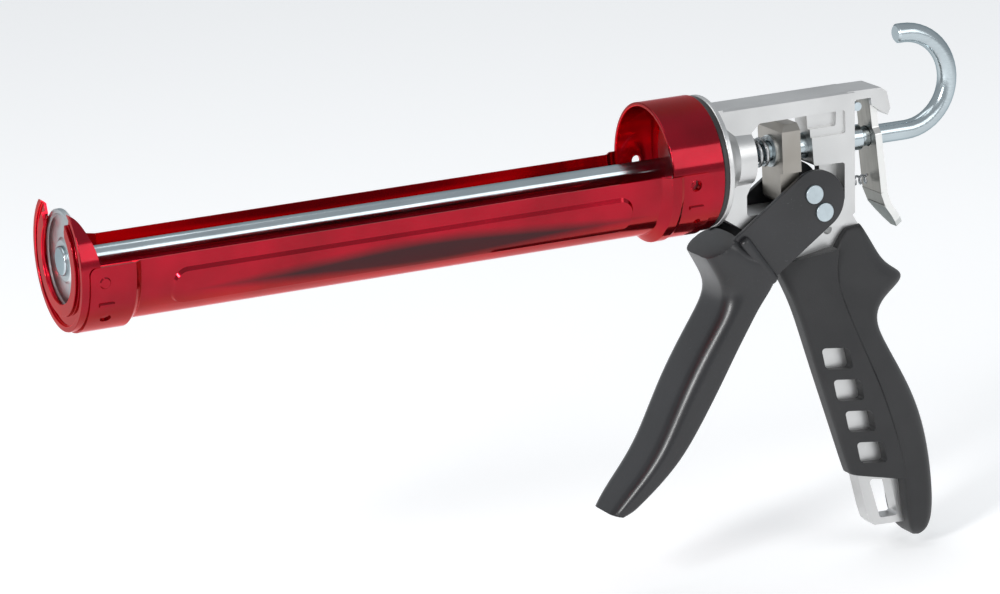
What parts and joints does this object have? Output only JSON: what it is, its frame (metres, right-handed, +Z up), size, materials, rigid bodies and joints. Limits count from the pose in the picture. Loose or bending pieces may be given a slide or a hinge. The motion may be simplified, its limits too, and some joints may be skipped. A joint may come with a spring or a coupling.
{
  "type": "caulking gun",
  "caption": "Skeleton caulking gun: half-round cradle that turns about a smooth push rod, cast frame, pistol handle with lever trigger, thumb release plate and a hooked rod end.",
  "frame": {"origin": "centre of the nose opening, on the push rod's axis", "axes": "+X along the push rod from the nose to the hook, +Z up with the handle below, +Y across the handle to the right of a user who stands behind the hook and looks towards the nose"},
  "size_m": [0.3935, 0.058, 0.218],
  "materials": {
    "red_lacquer": "transparent red lacquer over bright steel, glossy",
    "zinc_plate": "bright zinc plating",
    "spring_steel": "drawn wire, bright",
    "cast_aluminium": "barrel-polished die casting",
    "sintered_steel": "satin nickel over hardened steel",
    "black_enamel": "semi-gloss black enamel",
    "black_elastomer": "matt moulded elastomer",
    "black_polymer": "moulded, satin"
  },
  "bodies": {
    "frame": {"frame": "cast_aluminium", "front_bush": "zinc_plate", "guide_bush": "zinc_plate", "tail_pin": "zinc_plate", "grip_cover": "black_elastomer", "backstrap": "black_elastomer", "swivel_ring": "black_polymer", "thrust_washer": "zinc_plate", "hub_circlip": "spring_steel", "return_spring": "spring_steel", "release_spring": "spring_steel"},
    "cradle": {"barrel": "red_lacquer", "front_cap": "red_lacquer", "rear_collar": "red_lacquer", "collar_back_plate": "zinc_plate"},
    "trigger": {"trigger": "black_enamel", "fulcrum_pin": "zinc_plate", "drive_pin": "zinc_plate", "cheek_washers": "zinc_plate"},
    "drive": {"drive_block": "sintered_steel", "spring_washer": "zinc_plate"},
    "release": {"release_plate": "zinc_plate"},
    "plunger": {"plunger_disc": "zinc_plate", "plunger_washer": "zinc_plate"},
    "rod": {"rod": "zinc_plate", "plunger_rivet": "zinc_plate"}
  },
  "joints": [
    {"name": "cradle_spin", "type": "hinge", "parent": "frame", "child": "cradle", "pos_m": [0.27, 0, 0], "axis": [1, 0, 0], "continuous": true},
    {"name": "plunger_slide", "type": "slide", "parent": "frame", "child": "plunger", "axis": [1, 0, 0], "range_m": [0, 0.25]},
    {"name": "rod_spin", "type": "hinge", "parent": "plunger", "child": "rod", "pos_m": [0.2, 0, 0], "axis": [1, 0, 0], "continuous": true},
    {"name": "trigger_pull", "type": "hinge", "parent": "frame", "child": "trigger", "pos_m": [0.3236, 0, -0.0258], "axis": [0, -1, 0], "range_deg": [0, 28], "stiffness_Nm_per_rad": 0.3, "springref_deg": -45.84},
    {"name": "drive_slide", "type": "slide", "parent": "frame", "child": "drive", "axis": [-1, 0, 0], "range_m": [0, 0.004], "deforming": ["return_spring"]},
    {"name": "release_press", "type": "hinge", "parent": "frame", "child": "release", "pos_m": [0.3509, 0, 0.0135], "axis": [0, 1, 0], "range_deg": [0, 4.4], "stiffness_Nm_per_rad": 0.4, "springref_deg": -17.19, "deforming": ["release_spring"]}
  ],
  "couplings": [
    {"joint": "drive_slide", "follows": "trigger_pull", "m_per_rad": 0.008}
  ]
}
